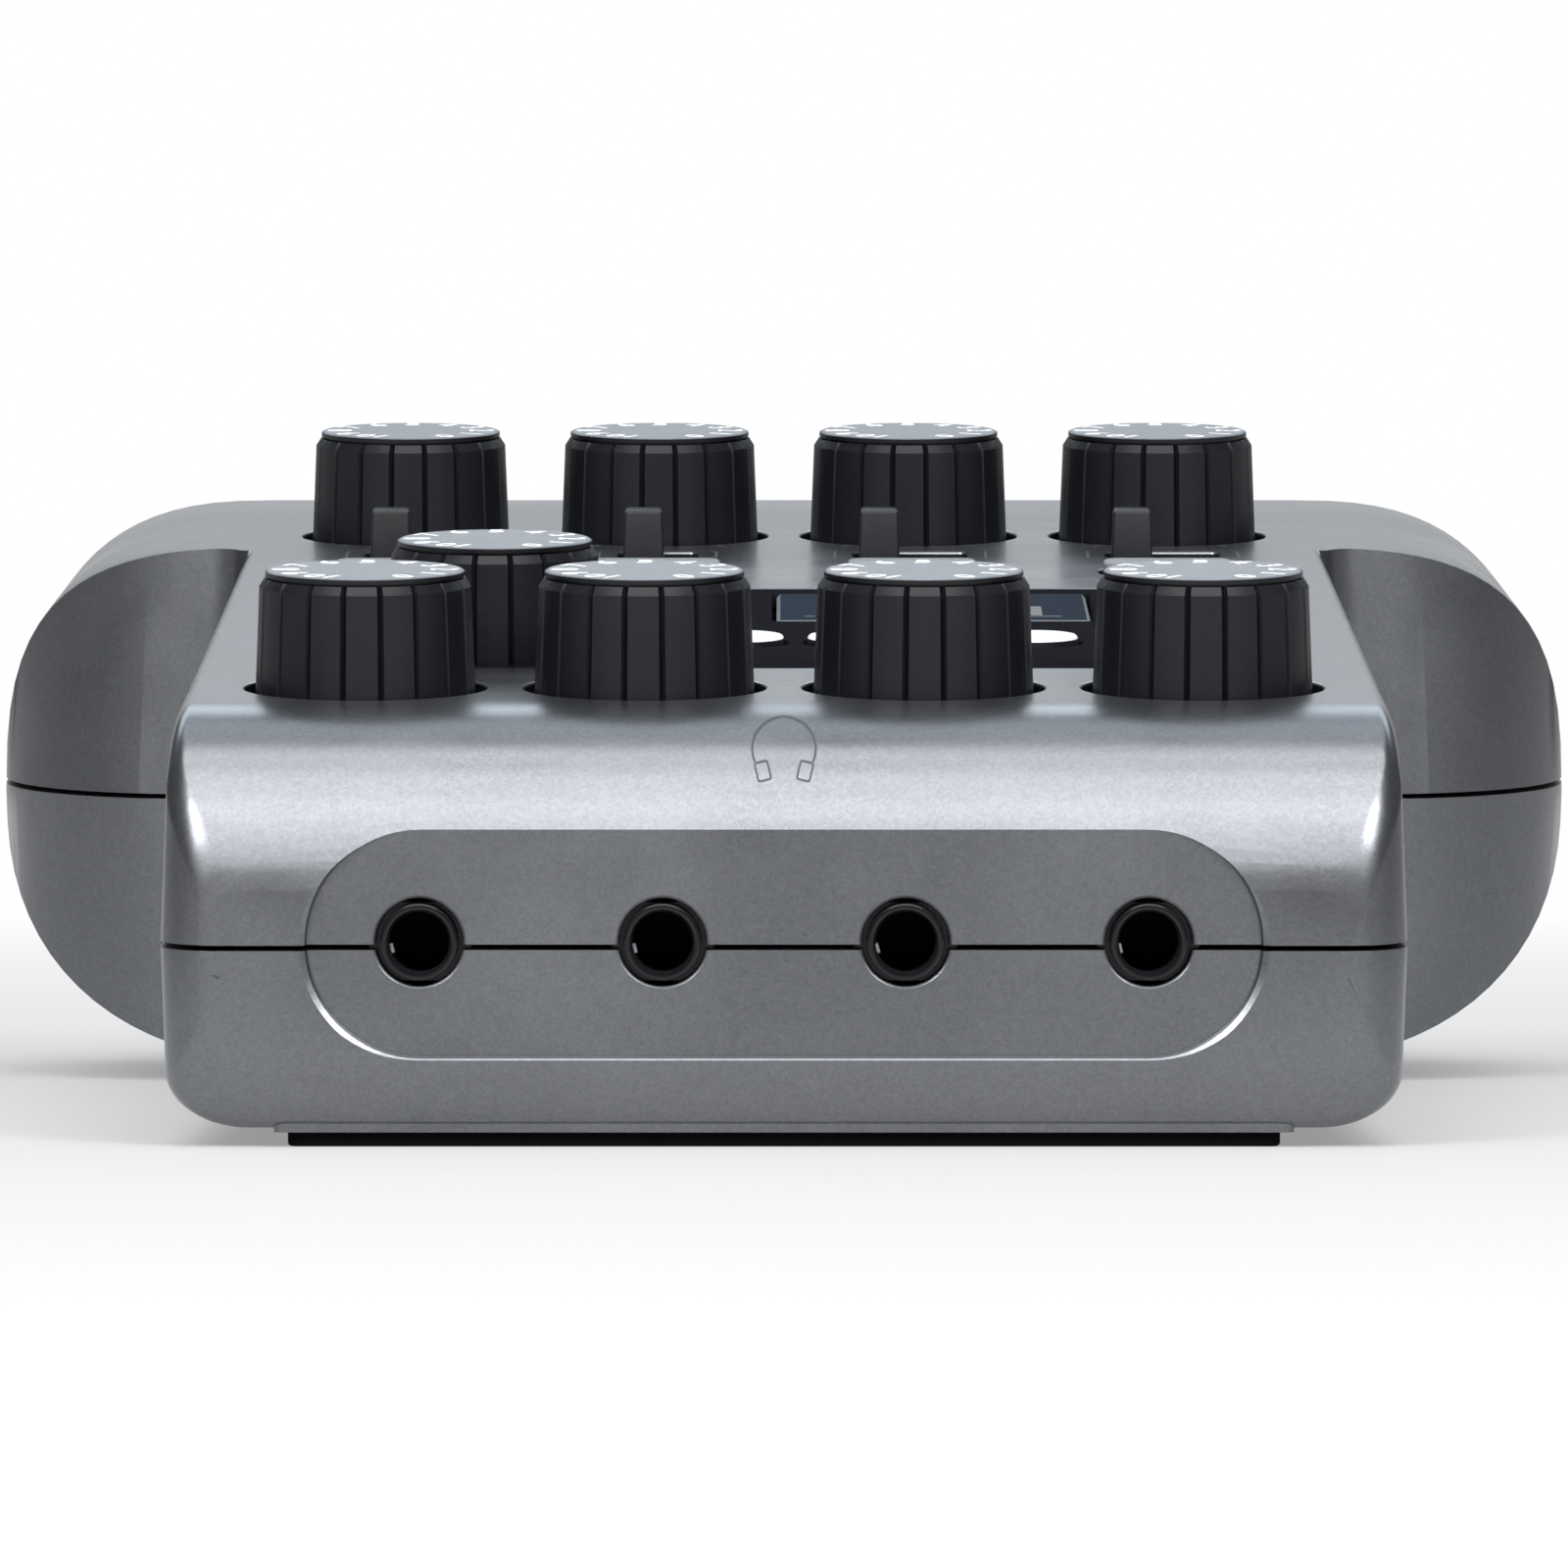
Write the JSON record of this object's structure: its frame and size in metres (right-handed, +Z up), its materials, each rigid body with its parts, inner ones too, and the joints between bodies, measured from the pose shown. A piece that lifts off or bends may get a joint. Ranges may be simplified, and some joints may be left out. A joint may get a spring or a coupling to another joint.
{
  "type": "podcast recorder",
  "caption": "Table-top podcast recorder: tilted control panel with fluted volume knobs, slide switches, keys and display, headphone jacks in front, microphone sockets behind",
  "frame": {"origin": "on the table under the middle of the case", "axes": "+X to the right seen from the headphone end, +Y from the headphone end to the microphone end, +Z up"},
  "size_m": [0.1124, 0.155, 0.0471],
  "materials": {
    "silver_paint": "satin metallic silver-grey paint on moulded ABS",
    "knob_black": "fine satin moulded black ABS",
    "switch_grey": "moulded dark grey ABS",
    "gloss_black": "polished black acrylic",
    "display_glass": "blue-grey display behind a clear window",
    "key_white": "translucent white silicone key top",
    "key_grey": "moulded grey key top",
    "record_red": "translucent red key top",
    "board_green": "solder-masked glass-fibre board with housings",
    "jack_black": "glossy moulded black nylon",
    "steel": "plated steel",
    "foot_rubber": "black rubber strip",
    "cell_jacket": "printed metal cell jacket"
  },
  "bodies": {
    "case": {"top_case": "silver_paint", "bottom_case": "silver_paint", "control_panel": "gloss_black", "display": "display_glass", "main_board": "board_green", "data_port": "steel", "battery_1": "cell_jacket", "battery_2": "cell_jacket", "front_foot": "foot_rubber", "rear_foot": "foot_rubber", "case_screw_1": "steel", "case_screw_2": "steel", "speaker_jack_left": "jack_black", "speaker_jack_right": "jack_black", "headphone_jack_1": "jack_black", "headphone_jack_2": "jack_black", "headphone_jack_3": "jack_black", "headphone_jack_4": "jack_black", "mic_socket_1": "jack_black", "mic_socket_2": "jack_black", "mic_socket_3": "jack_black", "mic_socket_4": "jack_black"},
    "headphone_volume_1": {"headphone_knob_1": "knob_black", "headphone_shaft_1": "steel"},
    "headphone_volume_2": {"headphone_knob_2": "knob_black", "headphone_shaft_2": "steel"},
    "headphone_volume_3": {"headphone_knob_3": "knob_black", "headphone_shaft_3": "steel"},
    "headphone_volume_4": {"headphone_knob_4": "knob_black", "headphone_shaft_4": "steel"},
    "speaker_volume": {"speaker_knob": "knob_black", "speaker_shaft": "steel"},
    "input_gain_1": {"input_knob_1": "knob_black", "input_shaft_1": "steel"},
    "input_gain_2": {"input_knob_2": "knob_black", "input_shaft_2": "steel"},
    "input_gain_3": {"input_knob_3": "knob_black", "input_shaft_3": "steel"},
    "input_gain_4": {"input_knob_4": "knob_black", "input_shaft_4": "steel"},
    "input_selector_1": {"input_switch_1": "switch_grey"},
    "input_selector_2": {"input_switch_2": "switch_grey"},
    "input_selector_3": {"input_switch_3": "switch_grey"},
    "input_selector_4": {"input_switch_4": "switch_grey"},
    "mute_key_1": {"mute_button_1": "key_grey"},
    "mute_key_2": {"mute_button_2": "key_grey"},
    "mute_key_3": {"mute_button_3": "key_grey"},
    "mute_key_4": {"mute_button_4": "key_grey"},
    "sound_key_1": {"sound_pad_1": "key_white"},
    "sound_key_2": {"sound_pad_2": "key_white"},
    "sound_key_3": {"sound_pad_3": "key_white"},
    "sound_key_4": {"sound_pad_4": "key_white"},
    "record_key": {"record_button": "record_red"},
    "stop_key": {"stop_button": "key_grey"},
    "play_key": {"play_button": "key_grey"},
    "menu_key": {"menu_button": "key_grey"},
    "scroll_key": {"scroll_button": "key_grey"},
    "power": {"power_switch": "switch_grey"},
    "card_flap": {"card_door": "knob_black"},
    "battery_lid": {"battery_cover": "silver_paint"}
  },
  "joints": [
    {"name": "headphone_volume_1_turn", "type": "hinge", "parent": "case", "child": "headphone_volume_1", "pos_m": [-0.02685, -0.05751, 0.02874], "axis": [0, -0.1014, 0.9948], "range_deg": [-150, 150]},
    {"name": "headphone_volume_2_turn", "type": "hinge", "parent": "case", "child": "headphone_volume_2", "pos_m": [-0.00895, -0.05751, 0.02874], "axis": [0, -0.1014, 0.9948], "range_deg": [-150, 150]},
    {"name": "headphone_volume_3_turn", "type": "hinge", "parent": "case", "child": "headphone_volume_3", "pos_m": [0.00895, -0.05751, 0.02874], "axis": [0, -0.1014, 0.9948], "range_deg": [-150, 150]},
    {"name": "headphone_volume_4_turn", "type": "hinge", "parent": "case", "child": "headphone_volume_4", "pos_m": [0.02685, -0.05751, 0.02874], "axis": [0, -0.1014, 0.9948], "range_deg": [-150, 150]},
    {"name": "speaker_volume_turn", "type": "hinge", "parent": "case", "child": "speaker_volume", "pos_m": [-0.019, -0.0373, 0.0308], "axis": [0, -0.1014, 0.9948], "range_deg": [-150, 150]},
    {"name": "input_gain_1_turn", "type": "hinge", "parent": "case", "child": "input_gain_1", "pos_m": [-0.02685, 0.0425, 0.03893], "axis": [0, -0.1014, 0.9948], "range_deg": [-150, 150]},
    {"name": "input_gain_2_turn", "type": "hinge", "parent": "case", "child": "input_gain_2", "pos_m": [-0.00895, 0.0425, 0.03893], "axis": [0, -0.1014, 0.9948], "range_deg": [-150, 150]},
    {"name": "input_gain_3_turn", "type": "hinge", "parent": "case", "child": "input_gain_3", "pos_m": [0.00895, 0.0425, 0.03893], "axis": [0, -0.1014, 0.9948], "range_deg": [-150, 150]},
    {"name": "input_gain_4_turn", "type": "hinge", "parent": "case", "child": "input_gain_4", "pos_m": [0.02685, 0.0425, 0.03893], "axis": [0, -0.1014, 0.9948], "range_deg": [-150, 150]},
    {"name": "input_selector_1_slide", "type": "slide", "parent": "case", "child": "input_selector_1", "axis": [1, 0, 0], "range_m": [0, 0.002]},
    {"name": "input_selector_2_slide", "type": "slide", "parent": "case", "child": "input_selector_2", "axis": [1, 0, 0], "range_m": [0, 0.002]},
    {"name": "input_selector_3_slide", "type": "slide", "parent": "case", "child": "input_selector_3", "axis": [1, 0, 0], "range_m": [0, 0.0044]},
    {"name": "input_selector_4_slide", "type": "slide", "parent": "case", "child": "input_selector_4", "axis": [1, 0, 0], "range_m": [0, 0.0044]},
    {"name": "mute_key_1_press", "type": "slide", "parent": "case", "child": "mute_key_1", "axis": [0, 0.1014, -0.9948], "range_m": [0, 0.0005], "stiffness_N_per_m": 400, "springref_m": -0.0005},
    {"name": "mute_key_2_press", "type": "slide", "parent": "case", "child": "mute_key_2", "axis": [0, 0.1014, -0.9948], "range_m": [0, 0.0005], "stiffness_N_per_m": 400, "springref_m": -0.0005},
    {"name": "mute_key_3_press", "type": "slide", "parent": "case", "child": "mute_key_3", "axis": [0, 0.1014, -0.9948], "range_m": [0, 0.0005], "stiffness_N_per_m": 400, "springref_m": -0.0005},
    {"name": "mute_key_4_press", "type": "slide", "parent": "case", "child": "mute_key_4", "axis": [0, 0.1014, -0.9948], "range_m": [0, 0.0005], "stiffness_N_per_m": 400, "springref_m": -0.0005},
    {"name": "sound_key_1_press", "type": "slide", "parent": "case", "child": "sound_key_1", "axis": [0, 0.1014, -0.9948], "range_m": [0, 0.0005], "stiffness_N_per_m": 400, "springref_m": -0.0005},
    {"name": "sound_key_2_press", "type": "slide", "parent": "case", "child": "sound_key_2", "axis": [0, 0.1014, -0.9948], "range_m": [0, 0.0005], "stiffness_N_per_m": 400, "springref_m": -0.0005},
    {"name": "sound_key_3_press", "type": "slide", "parent": "case", "child": "sound_key_3", "axis": [0, 0.1014, -0.9948], "range_m": [0, 0.0005], "stiffness_N_per_m": 400, "springref_m": -0.0005},
    {"name": "sound_key_4_press", "type": "slide", "parent": "case", "child": "sound_key_4", "axis": [0, 0.1014, -0.9948], "range_m": [0, 0.0005], "stiffness_N_per_m": 400, "springref_m": -0.0005},
    {"name": "record_key_press", "type": "slide", "parent": "case", "child": "record_key", "axis": [0, 0.1014, -0.9948], "range_m": [0, 0.0005], "stiffness_N_per_m": 400, "springref_m": -0.0005},
    {"name": "stop_key_press", "type": "slide", "parent": "case", "child": "stop_key", "axis": [0, 0.1014, -0.9948], "range_m": [0, 0.0005], "stiffness_N_per_m": 400, "springref_m": -0.0005},
    {"name": "play_key_press", "type": "slide", "parent": "case", "child": "play_key", "axis": [0, 0.1014, -0.9948], "range_m": [0, 0.0005], "stiffness_N_per_m": 400, "springref_m": -0.0005},
    {"name": "menu_key_press", "type": "slide", "parent": "case", "child": "menu_key", "axis": [0, 0.1014, -0.9948], "range_m": [0, 0.0005], "stiffness_N_per_m": 400, "springref_m": -0.0005},
    {"name": "scroll_key_press", "type": "slide", "parent": "case", "child": "scroll_key", "axis": [0, 0.1014, -0.9948], "range_m": [0, 0.0005], "stiffness_N_per_m": 400, "springref_m": -0.0005},
    {"name": "power_slide", "type": "slide", "parent": "case", "child": "power", "axis": [0, 1, 0], "range_m": [0, 0.0025]},
    {"name": "card_flap_hinge", "type": "hinge", "parent": "case", "child": "card_flap", "pos_m": [-0.03896, 0.01449, 0.009], "axis": [0, -1, 0], "range_deg": [0, 110]},
    {"name": "battery_lid_hinge", "type": "hinge", "parent": "case", "child": "battery_lid", "pos_m": [0, -0.00285, 0.0012], "axis": [1, 0, 0], "range_deg": [0, 80]}
  ]
}
